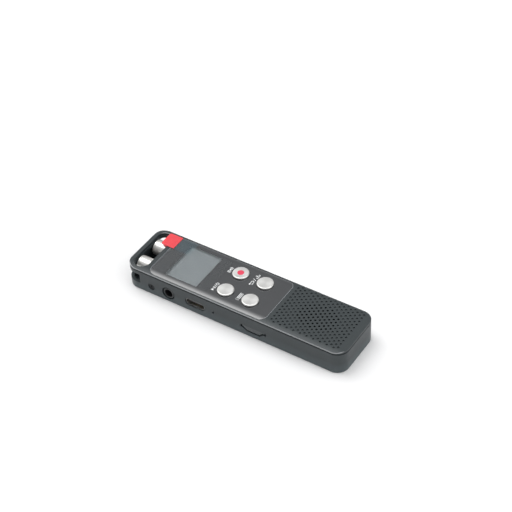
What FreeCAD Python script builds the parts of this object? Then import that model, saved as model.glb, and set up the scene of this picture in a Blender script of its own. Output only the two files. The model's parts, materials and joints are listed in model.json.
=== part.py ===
import FreeCAD, Part
import math
import os
import Sketcher

# Handheld voice recorder, millimetres.
# +X runs from the microphone end to the speaker end, +Y from the socket side to the key side, +Z up
# through the buttons. The origin is the centre of the flat bottom.

DIMENSIONS = [
    # body
    ("body_length", 100.0), ("body_width", 25.3), ("body_corner", 5.0), ("tub_height", 9.8),
    ("cover_top", 11.0), ("wall", 1.3), ("floor", 1.2), ("bottom_round", 0.4),
    ("shoulder_flat", 9.9), ("shoulder_drop", 0.45), ("edge_bevel", 0.25),
    ("seam_low", 0.15), ("seam_high", 0.3), ("seam_deep", 0.5),
    ("lip_gap", 0.1), ("lip_thick", 0.8), ("lip_bottom", 8.6),
    # microphone end
    ("window_x", -44.85), ("window_long", 6.7), ("window_wide", 21.6), ("window_corner", 3.2),
    ("window_round", 0.4),
    ("notch_back", -43.0), ("notch_inner", 8.6), ("notch_low", 3.5), ("notch_high", 8.1),
    ("mic_y", 5.4), ("mic_z", 6.75), ("mic_radius", 3.3), ("mic_bore", 2.75), ("mic_front", -47.6),
    ("mic_long", 7.8), ("mic_gap", 0.1), ("holder_back", -39.0), ("holder_wall", 1.5), ("holder_wide", 20.4),
    # front panel
    ("lens_x", -12.15), ("lens_long", 54.5), ("lens_wide", 23.6), ("lens_corner", 3.0),
    ("lens_bottom", 10.2), ("lens_top", 11.05), ("lens_flat", 9.4), ("lens_drop", 0.42),
    ("lens_gap", 0.14), ("adhesive", 0.1), ("screen_x", -25.0), ("screen_long", 14.8), ("screen_wide", 18.8),
    ("film_x", -25.7), ("film_long", 26.4), ("film_wide", 18.6), ("film_thick", 0.08),
    ("tab_left", -44.2), ("tab_right", -38.0), ("tab_y", 7.65), ("tab_wide", 7.0), ("tab_thick", 0.12),
    ("strip_right", -30.4),
    # display
    ("display_long", 19.2), ("display_wide", 20.6), ("display_top", 10.1), ("glass_bottom", 9.05),
    ("mask_side", 1.2), ("mask_end", 0.8),
    # buttons
    ("button_left", -6.45), ("button_right", 4.87), ("button_y", 5.4), ("button_radius", 3.4),
    ("button_top", 11.9), ("button_round", 0.4), ("button_hole", 3.55), ("flange_radius", 3.9),
    ("flange_top", 9.66), ("flange_thick", 0.5), ("plunger_radius", 0.9), ("plunger_bottom", 8.35),
    ("dot_radius", 1.35), ("dot_deep", 0.25), ("switch_size", 4.4), ("switch_tall", 0.65),
    ("switch_bore", 1.0),
    # grille
    ("grille_x", 31.725), ("grille_y", 0.35), ("grille_column", 1.4575), ("grille_row", 1.945),
    ("grille_radius", 0.45), ("dimple_deep", 0.35),
    # boards
    ("board_thick", 0.8), ("key_board_z", 7.2), ("key_board_x", -10.9), ("key_board_long", 49.0),
    ("main_board_z", 2.2), ("main_board_x", -9.0), ("main_board_long", 53.0), ("main_board_wide", 21.8),
    ("screw_head", 1.25), ("screw_head_tall", 0.6), ("tub_screw", 0.6), ("cover_screw", 0.7), ("boss", 1.5),
    # sockets on the near side
    ("jack_x", -29.3), ("jack_z", 4.3), ("jack_bore", 1.8), ("jack_nose", 2.35), ("jack_hole", 2.95),
    ("jack_recess", 0.3),
    ("jack_wide", 6.2), ("jack_tall", 4.8), ("jack_deep", 12.0),
    ("usb_x", -16.5), ("usb_z", 4.6), ("usb_wide", 8.94), ("usb_tall", 3.2), ("usb_sheet", 0.3),
    ("usb_recess", 0.3), ("usb_deep", 7.2), ("pinhole_x", -7.9), ("pinhole_z", 4.5), ("pinhole_radius", 0.45),
    ("slot_x", 10.6), ("slot_long", 11.6), ("slot_low", 3.65), ("slot_high", 5.0), ("scoop_low", 2.3),
    ("plug_end", 0.85), ("plug_floor", 0.65),
    ("side_screw_x", -37.5), ("side_screw_z", 4.0), ("side_screw_head", 1.35),
    ("side_screw_gap", 0.2), ("side_screw_deep", 0.25),
    # speaker and battery
    ("speaker_long", 15.0), ("speaker_wide", 11.0), ("speaker_top", 9.3), ("speaker_tall", 3.0),
    ("battery_x", 33.0), ("battery_long", 27.0), ("battery_wide", 19.0), ("battery_low", 1.3),
    ("battery_tall", 4.6),
    # controls on the far side
    ("key_z", 4.5), ("key_up_x", 3.0), ("key_down_x", -8.0), ("key_long", 8.0), ("key_tall", 2.8),
    ("key_top", 13.0), ("hold_x", -25.0), ("hold_travel", 2.0), ("hold_z", 4.5),
]

doc = FreeCAD.newDocument("voice_recorder")
sheet = doc.addObject("Spreadsheet::Sheet", "sheet")
for row, (alias, size) in enumerate(DIMENSIONS, start=1):
    sheet.set(f"A{row}", alias)
    sheet.set(f"B{row}", str(size))
    sheet.setAlias(f"B{row}", alias)
doc.recompute()

NODES = []
BODIES = []
AXIS_PLANES = {"X": "YZ_Plane", "Y": "XZ_Plane", "Z": "XY_Plane"}


def size_of(expression):
    """The number that an expression on the sheet stands for."""
    return float(sheet.evalExpression(str(expression)))


def new_body(label, x=0, y=0, z=0, is_node=True):
    """An empty PartDesign body placed by expressions; it is a node unless it is a pattern for copies."""
    body = doc.addObject("PartDesign::Body", label)
    body.Label = label
    for axis, place in (("x", x), ("y", y), ("z", z)):
        if place != 0:
            body.setExpression(f"Placement.Base.{axis}", str(place))
    BODIES.append(body)
    if is_node:
        NODES.append(body)
    return body


def new_sketch(body, axis, level, u=0, v=0):
    """A sketch across an axis at a level, its own origin moved to (u, v) in the plane."""
    sketch = body.newObject("Sketcher::SketchObject", "outline")
    role = AXIS_PLANES[axis]
    origin_plane = [item for item in body.Origin.OriginFeatures if item.Role == role][0]
    sketch.AttachmentSupport = [(origin_plane, "")]
    sketch.MapMode = "FlatFace"
    sketch.setExpression("AttachmentOffset.Base.x", str(u))
    sketch.setExpression("AttachmentOffset.Base.y", str(v))
    along = f"-({level})" if axis == "Y" else str(level)
    sketch.setExpression("AttachmentOffset.Base.z", along)
    return sketch


def draw_circle(sketch, radius):
    """A circle about the sketch's origin."""
    start = FreeCAD.Vector(0, 0, 0)
    circle = sketch.addGeometry(Part.Circle(start, FreeCAD.Vector(0, 0, 1), size_of(radius)))
    sketch.addConstraint(Sketcher.Constraint("Coincident", circle, 3, -1, 1))
    bound = sketch.addConstraint(Sketcher.Constraint("Radius", circle, size_of(radius)))
    sketch.setExpression(f"Constraints[{bound}]", str(radius))


def draw_rectangle(sketch, wide, tall, corner=None):
    """A rectangle about the sketch's origin, with rounded corners when a corner radius is given."""
    half_u = size_of(wide) / 2
    half_v = size_of(tall) / 2
    radius = size_of(corner) if corner else 0.0
    inner_u = half_u - radius
    inner_v = half_v - radius
    ends = [
        (-inner_u, -half_v, inner_u, -half_v), (half_u, -inner_v, half_u, inner_v),
        (inner_u, half_v, -inner_u, half_v), (-half_u, inner_v, -half_u, -inner_v),
    ]
    sides = []
    for u1, v1, u2, v2 in ends:
        line = Part.LineSegment(FreeCAD.Vector(u1, v1, 0), FreeCAD.Vector(u2, v2, 0))
        sides.append(sketch.addGeometry(line))
    for number, side in enumerate(sides):
        kind = "Horizontal" if number % 2 == 0 else "Vertical"
        sketch.addConstraint(Sketcher.Constraint(kind, side))
    if corner:
        arcs = []
        centres = [(inner_u, -inner_v), (inner_u, inner_v), (-inner_u, inner_v), (-inner_u, -inner_v)]
        for number, (u, v) in enumerate(centres):
            circle = Part.Circle(FreeCAD.Vector(u, v, 0), FreeCAD.Vector(0, 0, 1), radius)
            start = math.radians(90 * number - 90)
            arcs.append(sketch.addGeometry(Part.ArcOfCircle(circle, start, start + math.pi / 2)))
        for number, arc in enumerate(arcs):
            after = sides[(number + 1) % 4]
            sketch.addConstraint(Sketcher.Constraint("Tangent", sides[number], 2, arc, 1))
            sketch.addConstraint(Sketcher.Constraint("Tangent", arc, 2, after, 1))
            if number:
                sketch.addConstraint(Sketcher.Constraint("Equal", arcs[0], arc))
        bound = sketch.addConstraint(Sketcher.Constraint("Radius", arcs[0], radius))
        sketch.setExpression(f"Constraints[{bound}]", str(corner))
        sketch.addConstraint(Sketcher.Constraint("Symmetric", arcs[0], 3, arcs[2], 3, -1, 1))
    else:
        for number, side in enumerate(sides):
            after = sides[(number + 1) % 4]
            sketch.addConstraint(Sketcher.Constraint("Coincident", side, 2, after, 1))
        sketch.addConstraint(Sketcher.Constraint("Symmetric", sides[0], 1, sides[2], 1, -1, 1))
    across = Sketcher.Constraint("DistanceX", sides[3], 1, sides[1], 1, 2 * half_u)
    upward = Sketcher.Constraint("DistanceY", sides[0], 1, sides[2], 1, 2 * half_v)
    for constraint, size in ((across, wide), (upward, tall)):
        bound = sketch.addConstraint(constraint)
        sketch.setExpression(f"Constraints[{bound}]", str(size))


def draw_outline(sketch, points):
    """A closed outline of straight runs; a point given with a bulge is reached by an arc of that rise."""
    for number, start in enumerate(points):
        finish = points[(number + 1) % len(points)]
        first = FreeCAD.Vector(start[0], start[1], 0)
        last = FreeCAD.Vector(finish[0], finish[1], 0)
        if len(finish) == 3:
            across = last - first
            normal = FreeCAD.Vector(-across.y, across.x, 0).normalize()
            middle = (first + last) / 2 + normal * finish[2]
            sketch.addGeometry(Part.Arc(first, middle, last))
        else:
            sketch.addGeometry(Part.LineSegment(first, last))


def pad(body, sketch, axis, length):
    """Add the sketch's outline to the body, towards the positive axis."""
    feature = body.newObject("PartDesign::Pad", "pad")
    feature.Profile = sketch
    feature.setExpression("Length", str(length))
    feature.Reversed = axis == "Y"
    sketch.Visibility = False
    return feature


def pocket(body, sketch, axis, length):
    """Take the sketch's outline out of the body, towards the positive axis."""
    feature = body.newObject("PartDesign::Pocket", "pocket")
    feature.Profile = sketch
    feature.setExpression("Length", str(length))
    feature.Reversed = axis != "Y"
    sketch.Visibility = False
    return feature


def block(body, axis, level, length, wide, tall, u=0, v=0, corner=None, cut=False):
    """A block with an optional corner radius, from level to level + length along the axis."""
    sketch = new_sketch(body, axis, level, u, v)
    draw_rectangle(sketch, wide, tall, corner)
    return pocket(body, sketch, axis, length) if cut else pad(body, sketch, axis, length)


def disc(body, axis, level, length, radius, u=0, v=0, cut=False):
    """A round block, from level to level + length along the axis."""
    sketch = new_sketch(body, axis, level, u, v)
    draw_circle(sketch, radius)
    return pocket(body, sketch, axis, length) if cut else pad(body, sketch, axis, length)


def ring(body, axis, level, length, outer, inner, cut=False):
    """A rectangular ring; outer and inner are (wide, tall, corner)."""
    sketch = new_sketch(body, axis, level)
    draw_rectangle(sketch, *outer)
    draw_rectangle(sketch, *inner)
    return pocket(body, sketch, axis, length) if cut else pad(body, sketch, axis, length)


def round_edges(body, radius, keep, kind="Fillet"):
    """Round or bevel those edges of the body's last feature for which keep(edge) is true."""
    doc.recompute()
    base = body.Tip
    names = [f"Edge{n}" for n, edge in enumerate(base.Shape.Edges, start=1) if keep(edge)]
    feature = body.newObject(f"PartDesign::{kind}", kind.lower())
    feature.Base = (base, names)
    feature.setExpression("Radius" if kind == "Fillet" else "Size", str(radius))
    return feature


def box_node(label, low, size, corner=None):
    """A node that is one block: low corner and size as expressions."""
    body = new_body(label)
    u = f"({low[0]}) + ({size[0]}) / 2"
    v = f"({low[1]}) + ({size[1]}) / 2"
    block(body, "Z", low[2], size[2], size[0], size[1], u, v, corner)
    return body


def repeat_node(label, pattern, places):
    """A node of identical solids: copies of one pattern at (x, y, z) or (x, y, z, rotation)."""
    doc.recompute()
    copies = []
    for number, (x, y, z, *turn) in enumerate(places):
        copy = doc.addObject("Part::Feature", f"{label}_{number}")
        copy.Shape = pattern.Shape
        rotation = turn[0] if turn else FreeCAD.Rotation()
        copy.Placement = FreeCAD.Placement(FreeCAD.Vector(x, y, z), rotation)
        copies.append(copy)
    node = doc.addObject("Part::Compound", label)
    node.Links = copies
    NODES.append(node)


# ---------------------------------------------------------------- shell

CAVITY = ("sheet.body_length - 2 * sheet.wall", "sheet.body_width - 2 * sheet.wall",
          "sheet.body_corner - sheet.wall")
BOARD_SCREWS = [(-23.6, -9.2), (-2.4, -9.2), (-31.5, 9.0), (14.5, 9.0)]
COVER_SCREWS = [(-12.9, -8.6), (-12.9, 8.6), (11.9, -8.6), (11.9, 8.6)]
BUTTONS = [
    ("record", "sheet.button_left", "sheet.button_y"), ("back", "sheet.button_right", "sheet.button_y"),
    ("play", "sheet.button_left", "-sheet.button_y"), ("menu", "sheet.button_right", "-sheet.button_y"),
]
SIDES = (-1, 1)


def slot_outline(end_gap, floor_gap, top_gap):
    """The card slot's outline about its own centre line, with a finger scoop below it, drawn in by gaps."""
    half = size_of("sheet.slot_long") / 2
    top = size_of("sheet.slot_high") - top_gap
    low = size_of("sheet.slot_low") + floor_gap
    scoop = size_of("sheet.scoop_low") + floor_gap
    return [(end_gap - half, low), (0.9 - half + end_gap / 3, low), (2.9 - half, scoop), (half - 2.9, scoop),
            (half - 1.5 - end_gap / 3, low + 0.15), (half - end_gap, low), (half - end_gap, top),
            (end_gap - half, top)]


def seam_outlines():
    """Outside and inside of the ring that is cut away round the joint of tub and cover."""
    outside = ("sheet.body_length + 2", "sheet.body_width + 2", "sheet.body_corner + 1")
    inside = ("sheet.body_length - 2 * sheet.seam_deep", "sheet.body_width - 2 * sheet.seam_deep",
              "sheet.body_corner - sheet.seam_deep")
    return outside, inside


def make_tub():
    """Lower shell: closed bottom, four walls, socket and key openings, microphone notches."""
    tub = new_body("body_tub")
    block(tub, "Z", 0, "sheet.tub_height", "sheet.body_length", "sheet.body_width", 0, 0,
          "sheet.body_corner")
    round_edges(tub, "sheet.bottom_round", lambda edge: edge.BoundBox.ZMax < 0.001)
    block(tub, "Z", "sheet.floor", "sheet.tub_height", *CAVITY[:2], 0, 0, CAVITY[2], cut=True)
    for x, y in BOARD_SCREWS:
        disc(tub, "Z", "sheet.floor - 0.2", "sheet.main_board_z - sheet.floor + 0.2", "sheet.boss", x, y)
    for x, y in BOARD_SCREWS:
        disc(tub, "Z", 0.6, 2, "sheet.tub_screw", x, y, cut=True)
    # sound notches through both corners of the microphone end
    reach = "sheet.body_length / 2 + 1"
    for side in SIDES:
        block(tub, "Z", "sheet.notch_low", "sheet.notch_high - sheet.notch_low",
              f"{reach} + sheet.notch_back", "sheet.body_width / 2 + 1 - sheet.notch_inner",
              f"(sheet.notch_back - ({reach})) / 2",
              f"{side} * (sheet.body_width / 2 + 1 + sheet.notch_inner) / 2", cut=True)
    # socket openings in the near wall
    near = "-sheet.body_width / 2 - 1"
    through = "sheet.wall + 1.5"
    disc(tub, "Y", near, through, "sheet.jack_hole", "sheet.jack_x", "sheet.jack_z", cut=True)
    block(tub, "Y", near, through, "sheet.usb_wide + 0.4", "sheet.usb_tall + 0.4",
          "sheet.usb_x", "sheet.usb_z", "sheet.usb_tall / 2 + 0.19", cut=True)
    disc(tub, "Y", near, through, "sheet.pinhole_radius", "sheet.pinhole_x", "sheet.pinhole_z", cut=True)
    slot = new_sketch(tub, "Y", near, "sheet.slot_x")
    draw_outline(slot, slot_outline(0, 0, 0))
    pocket(tub, slot, "Y", through)
    # key and slider openings in the far wall
    far = "sheet.body_width / 2 - sheet.wall - 0.5"
    for x in ("sheet.key_up_x", "sheet.key_down_x"):
        block(tub, "Y", far, through, "sheet.key_long + 0.2", "sheet.key_tall + 0.2", x, "sheet.key_z",
              "sheet.key_tall / 2", cut=True)
    hold_middle = "sheet.hold_x + sheet.hold_travel / 2"
    block(tub, "Y", far, through, "sheet.hold_travel + 2.8", 1.8, hold_middle, "sheet.hold_z", 0.3, cut=True)
    block(tub, "Y", "sheet.body_width / 2 - 0.5", 1, "sheet.hold_travel + 5", 2.8, hold_middle,
          "sheet.hold_z", 1.2, cut=True)
    # countersunk side screws
    for side in SIDES:
        inner = "sheet.body_width / 2 - sheet.wall - 0.5" if side > 0 else near
        disc(tub, "Y", inner, through, "sheet.cover_screw", "sheet.side_screw_x", "sheet.side_screw_z",
             cut=True)
        seat = "sheet.body_width / 2 - 0.7" if side > 0 else near
        disc(tub, "Y", seat, 1.7, "sheet.side_screw_head + sheet.side_screw_gap", "sheet.side_screw_x",
             "sheet.side_screw_z", cut=True)
    # grooves for the cover's two snap bumps at the speaker end
    for side in SIDES:
        block(tub, "X", "sheet.body_length / 2 - sheet.wall - 0.2", 0.6, 3.4, 0.7, side * 6, 9.05, cut=True)
    # a step round the upper edge, the lower half of the shadow line under the cover
    ring(tub, "Z", "sheet.tub_height - sheet.seam_low", 1, *seam_outlines(), cut=True)
    return tub


def grille_holes():
    """Grille hole centres as (x, y, open): staggered columns, open ones in an octagon over the speaker."""
    column = size_of("sheet.grille_column")
    pitch = size_of("sheet.grille_row")
    holes = []
    for number in range(-10, 11):
        rows = 11 if number % 2 == 0 else 12
        for index in range(rows):
            step = index - (rows - 1) / 2
            is_open = abs(number) <= 5 and abs(step) <= 3 and abs(step) + abs(number) / 2 <= 4
            x = size_of("sheet.grille_x") + number * column
            y = size_of("sheet.grille_y") + step * pitch
            holes.append((x, y, is_open))
    return holes


def cut_shoulders(body, flat, drop, top, half_wide):
    """Let the top fall away in an arc along both long edges."""
    sketch = new_sketch(body, "X", "-sheet.body_length / 2 - 1")
    run = half_wide - flat
    radius = (run * run + drop * drop) / (2 * drop)
    rise = radius - math.sqrt(radius * radius - (run * run + drop * drop) / 4)
    above = top + 0.5
    draw_outline(sketch, [(half_wide, top - drop), (flat, top, -rise), (flat, above),
                          (half_wide + 0.5, above), (half_wide + 0.5, top - drop)])
    draw_outline(sketch, [(-flat, top), (-half_wide, top - drop, -rise), (-half_wide - 0.5, top - drop),
                          (-half_wide - 0.5, above), (-flat, above)])
    pocket(body, sketch, "X", "sheet.body_length + 2")


def make_cover():
    """Top plate: lens recess, button holes, microphone window, grille, lip and bosses."""
    cover = new_body("front_cover")
    block(cover, "Z", "sheet.tub_height", "sheet.cover_top - sheet.tub_height", "sheet.body_length",
          "sheet.body_width", 0, 0, "sheet.body_corner")
    top = size_of("sheet.cover_top")
    half_wide = size_of("sheet.body_width / 2")
    cut_shoulders(cover, size_of("sheet.shoulder_flat"), size_of("sheet.shoulder_drop"), top, half_wide)

    def outer_top(edge):
        box = edge.BoundBox
        on_rim = max(abs(box.XMin), abs(box.XMax)) > 49.99 or max(abs(box.YMin), abs(box.YMax)) > 12.64
        on_rim = on_rim or (abs(box.Center.x) > 45.3 and abs(box.Center.y) > 8)
        return on_rim and box.ZMin > 10.2 and edge.Length > 0.3
    round_edges(cover, "sheet.edge_bevel", outer_top, "Chamfer")
    # a step round the lower edge, the upper half of the shadow line over the tub
    ring(cover, "Z", "sheet.tub_height - 1", "sheet.seam_high + 1", *seam_outlines(), cut=True)
    # room for the microphone barrels under the plate
    run = "sheet.mic_front + sheet.mic_long + sheet.mic_gap - sheet.window_x"
    for side in SIDES:
        disc(cover, "X", "sheet.window_x", run, "sheet.mic_radius + sheet.mic_gap", f"{side} * sheet.mic_y",
             "sheet.mic_z", cut=True)
    block(cover, "Z", "sheet.tub_height - 1", 3, "sheet.window_long", "sheet.window_wide",
          "sheet.window_x", 0, "sheet.window_corner", cut=True)

    def window_top(edge):
        box = edge.BoundBox
        inside = box.XMin > -48.3 and box.XMax < -41.4 and max(abs(box.YMin), abs(box.YMax)) < 10.9
        return inside and box.ZMin > 10.7
    round_edges(cover, "sheet.window_round", window_top)
    block(cover, "Z", "sheet.lens_bottom - sheet.adhesive", 2, "sheet.lens_long + 2 * sheet.lens_gap",
          "sheet.lens_wide + 2 * sheet.lens_gap", "sheet.lens_x", 0, "sheet.lens_corner + sheet.lens_gap",
          cut=True)
    block(cover, "Z", "sheet.tub_height - 1", 2, "sheet.display_long + 0.4", "sheet.display_wide + 0.4",
          "sheet.screen_x", 0, 0.5, cut=True)
    for name, x, y in BUTTONS:
        disc(cover, "Z", "sheet.tub_height - 1", 2, "sheet.button_hole + 0.1", x, y, cut=True)
    for wanted in (True, False):
        level = "sheet.tub_height - 1" if wanted else "sheet.cover_top - sheet.dimple_deep"
        sketch = new_sketch(cover, "Z", level)
        for x, y, is_open in grille_holes():
            if is_open == wanted:
                centre = FreeCAD.Vector(x, y, 0)
                across = FreeCAD.Vector(0, 0, 1)
                sketch.addGeometry(Part.Circle(centre, across, size_of("sheet.grille_radius")))
        pocket(cover, sketch, "Z", 3)
    # locating lip inside the tub's walls
    gap = "2 * sheet.wall + 2 * sheet.lip_gap"
    outside = (f"sheet.body_length - ({gap})", f"sheet.body_width - ({gap})",
               "sheet.body_corner - sheet.wall - sheet.lip_gap")
    inside = (f"{outside[0]} - 2 * sheet.lip_thick", f"{outside[1]} - 2 * sheet.lip_thick",
              f"{outside[2]} - sheet.lip_thick")
    ring(cover, "Z", "sheet.lip_bottom", "sheet.tub_height - sheet.lip_bottom + 0.1", outside, inside)
    for side in SIDES:
        block(cover, "X", "sheet.body_length / 2 - sheet.wall - sheet.lip_gap - 0.4", 0.6, 3.0, 0.45,
              side * 6, 9.05)
        middle = f"{side} * (sheet.body_width / 2 - sheet.wall - sheet.lip_gap - sheet.lip_thick / 2)"
        block(cover, "Z", 2.8, "sheet.lip_bottom - 2.7", 3.4, "sheet.lip_thick", "sheet.side_screw_x", middle)
    disc(cover, "Y", "-sheet.body_width / 2", "sheet.body_width", "sheet.cover_screw", "sheet.side_screw_x",
         "sheet.side_screw_z", cut=True)
    under = "sheet.key_board_z + sheet.board_thick"
    for x, y in COVER_SCREWS:
        disc(cover, "Z", under, f"sheet.tub_height - ({under}) + 0.1", "sheet.boss", x, y)
    for x, y in COVER_SCREWS:
        disc(cover, "Z", f"{under} - 0.5", 1.95, "sheet.cover_screw", x, y, cut=True)
    return cover


# ---------------------------------------------------------------- front panel

def make_panel():
    """Lens with curved long edges, its black mask and adhesive, the shipping film and its pull tab."""
    lens = new_body("front_lens")
    block(lens, "Z", "sheet.lens_bottom", "sheet.lens_top - sheet.lens_bottom", "sheet.lens_long",
          "sheet.lens_wide", "sheet.lens_x", 0, "sheet.lens_corner")
    cut_shoulders(lens, size_of("sheet.lens_flat"), size_of("sheet.lens_drop"), size_of("sheet.lens_top"),
                  size_of("sheet.lens_wide / 2"))
    for name, x, y in BUTTONS:
        disc(lens, "Z", "sheet.lens_bottom - 1", 3, "sheet.button_hole", x, y, cut=True)

    mask = new_body("lens_mask")
    block(mask, "Z", "sheet.lens_bottom - sheet.adhesive", "sheet.adhesive", "sheet.lens_long - 0.8",
          "sheet.lens_wide - 0.8", "sheet.lens_x", 0, "sheet.lens_corner - 0.4")
    block(mask, "Z", "sheet.tub_height", 2, "sheet.screen_long + 2 * sheet.mask_side",
          "sheet.screen_wide + 2 * sheet.mask_end", "sheet.screen_x", 0, 0.3, cut=True)
    for name, x, y in BUTTONS:
        disc(mask, "Z", "sheet.tub_height", 2, "sheet.button_hole + 0.1", x, y, cut=True)

    film = new_body("screen_film")
    block(film, "Z", "sheet.lens_top", "sheet.film_thick", "sheet.film_long", "sheet.film_wide",
          "sheet.film_x", 0, 0.8)
    above = "sheet.lens_top + sheet.film_thick"
    tab = new_body("film_pull_tab")
    block(tab, "Z", above, "sheet.tab_thick", "sheet.tab_right - sheet.tab_left", "sheet.tab_wide",
          "(sheet.tab_left + sheet.tab_right) / 2", "sheet.tab_y", 0.9)
    block(tab, "Z", above, "sheet.tab_thick", 1.2, "sheet.tab_wide", "sheet.tab_right - 0.6", "sheet.tab_y")
    strip = new_body("film_tab_strip")
    block(strip, "Z", above, "sheet.tab_thick", "sheet.strip_right - sheet.tab_right", "sheet.tab_wide",
          "(sheet.strip_right + sheet.tab_right) / 2", "sheet.tab_y")


def make_display():
    """Display glass, its backlight and the flexible tail down to the key board."""
    on_board = "sheet.key_board_z + sheet.board_thick"
    half = "sheet.display_long / 2"
    light = new_body("display_backlight")
    block(light, "Z", on_board, f"sheet.glass_bottom - ({on_board})", "sheet.display_long",
          "sheet.display_wide", "sheet.screen_x", 0, 0.3)
    glass = new_body("display_glass")
    block(glass, "Z", "sheet.glass_bottom", "sheet.display_top - sheet.glass_bottom", "sheet.display_long",
          "sheet.display_wide", "sheet.screen_x", 0, 0.3)
    tail = new_body("display_flex")
    block(tail, "Z", on_board, 0.12, 2.9, 8, f"sheet.screen_x + {half} + 1.45", 0)
    block(tail, "Z", on_board, 1.0, 0.12, 8, f"sheet.screen_x + {half} + 0.06", 0)


# ---------------------------------------------------------------- buttons and keys

def make_buttons():
    """Four spun-metal buttons, the plunger each one pushes, and the switch under it."""
    flange_low = "sheet.flange_top - sheet.flange_thick"
    on_board = "sheet.key_board_z + sheet.board_thick"
    for name, x, y in BUTTONS:
        cap = new_body(f"{name}_button", x, y)
        disc(cap, "Z", flange_low, "sheet.flange_thick", "sheet.flange_radius")
        disc(cap, "Z", flange_low, f"sheet.button_top - ({flange_low})", "sheet.button_radius")
        top = size_of("sheet.button_top")
        round_edges(cap, "sheet.button_round", lambda edge: edge.BoundBox.ZMin > top - 0.001)
        if name == "record":
            disc(cap, "Z", "sheet.button_top - sheet.dot_deep", 1, "sheet.dot_radius", cut=True)
        plunger = new_body(f"{name}_plunger", x, y)
        disc(plunger, "Z", "sheet.plunger_bottom", f"{flange_low} - sheet.plunger_bottom",
             "sheet.plunger_radius")
    switch = new_body("key_switch_pattern", is_node=False)
    block(switch, "Z", on_board, "sheet.switch_tall", "sheet.switch_size", "sheet.switch_size", 0, 0, 0.4)
    disc(switch, "Z", f"{on_board} - 1", 3, "sheet.switch_bore", cut=True)
    repeat_node("key_switches", switch, [(size_of(x), size_of(y), 0) for name, x, y in BUTTONS])
    dot = new_body("record_dot", "sheet.button_left", "sheet.button_y")
    disc(dot, "Z", "sheet.button_top - sheet.dot_deep", "sheet.dot_deep", "sheet.dot_radius")


def make_side_controls():
    """Two volume keys and a hold slider in the far wall, each with its switch on the main board."""
    inner = "sheet.body_width / 2 - sheet.wall"
    on_board = "sheet.main_board_z + sheet.board_thick"
    for name, x in (("volume_up", "sheet.key_up_x"), ("volume_down", "sheet.key_down_x")):
        key = new_body(f"{name}_key", x)
        block(key, "Y", f"{inner} - 0.6", 0.5, "sheet.key_long + 1.4", "sheet.key_tall", 0, "sheet.key_z",
              0.4)
        block(key, "Y", f"{inner} - 0.6", f"sheet.key_top - ({inner} - 0.6)", "sheet.key_long",
              "sheet.key_tall", 0, "sheet.key_z", "sheet.key_tall / 2 - 0.02")
        top = size_of("sheet.key_top")
        round_edges(key, 0.25, lambda edge: edge.BoundBox.YMin > top - 0.001)
        plunger = new_body(f"{name}_plunger", x)
        disc(plunger, "Y", f"{inner} - 1.75", 1.15, 0.8, 0, "sheet.key_z")
    switch = new_body("volume_switch_pattern", is_node=False)
    tall = f"2 * (sheet.key_z - ({on_board}))"
    block(switch, "Y", f"{inner} - 3.4", 2.35, 4.2, tall, 0, "sheet.key_z", 0.3)
    disc(switch, "Y", f"{inner} - 2.2", 3, 0.9, 0, "sheet.key_z", cut=True)
    places = [(size_of(x), 0, 0) for x in ("sheet.key_up_x", "sheet.key_down_x")]
    repeat_node("volume_switches", switch, places)

    slider = new_body("hold_slider", "sheet.hold_x")
    block(slider, "Y", f"{inner} - 0.35", 0.25, 4.4, 2.6, 0, "sheet.hold_z", 0.3)
    block(slider, "Y", f"{inner} - 0.35", 1.4, 2.4, 1.4, 0, "sheet.hold_z", 0.2)
    block(slider, "Y", "sheet.body_width / 2 - 0.45", 0.75, 4.6, 2.4, 0, "sheet.hold_z", 1.0)
    for step in (-1.2, -0.6, 0, 0.6, 1.2):
        block(slider, "Y", "sheet.body_width / 2 + 0.15", 1, 0.25, 1.6, step, "sheet.hold_z", cut=True)
    block(slider, "Y", f"{inner} - 1.35", 1.1, 1.2, 0.6, 0, "sheet.hold_z")
    switch = new_body("hold_switch", "sheet.hold_x + sheet.hold_travel / 2")
    block(switch, "Y", f"{inner} - 3.0", 2.5, 7.0, 2.8, 0, f"{on_board} + 1.4", 0.3)
    block(switch, "Y", f"{inner} - 1.55", 3, "sheet.hold_travel + 1.6", 0.8, 0, "sheet.hold_z", cut=True)


# ---------------------------------------------------------------- sockets

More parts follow.
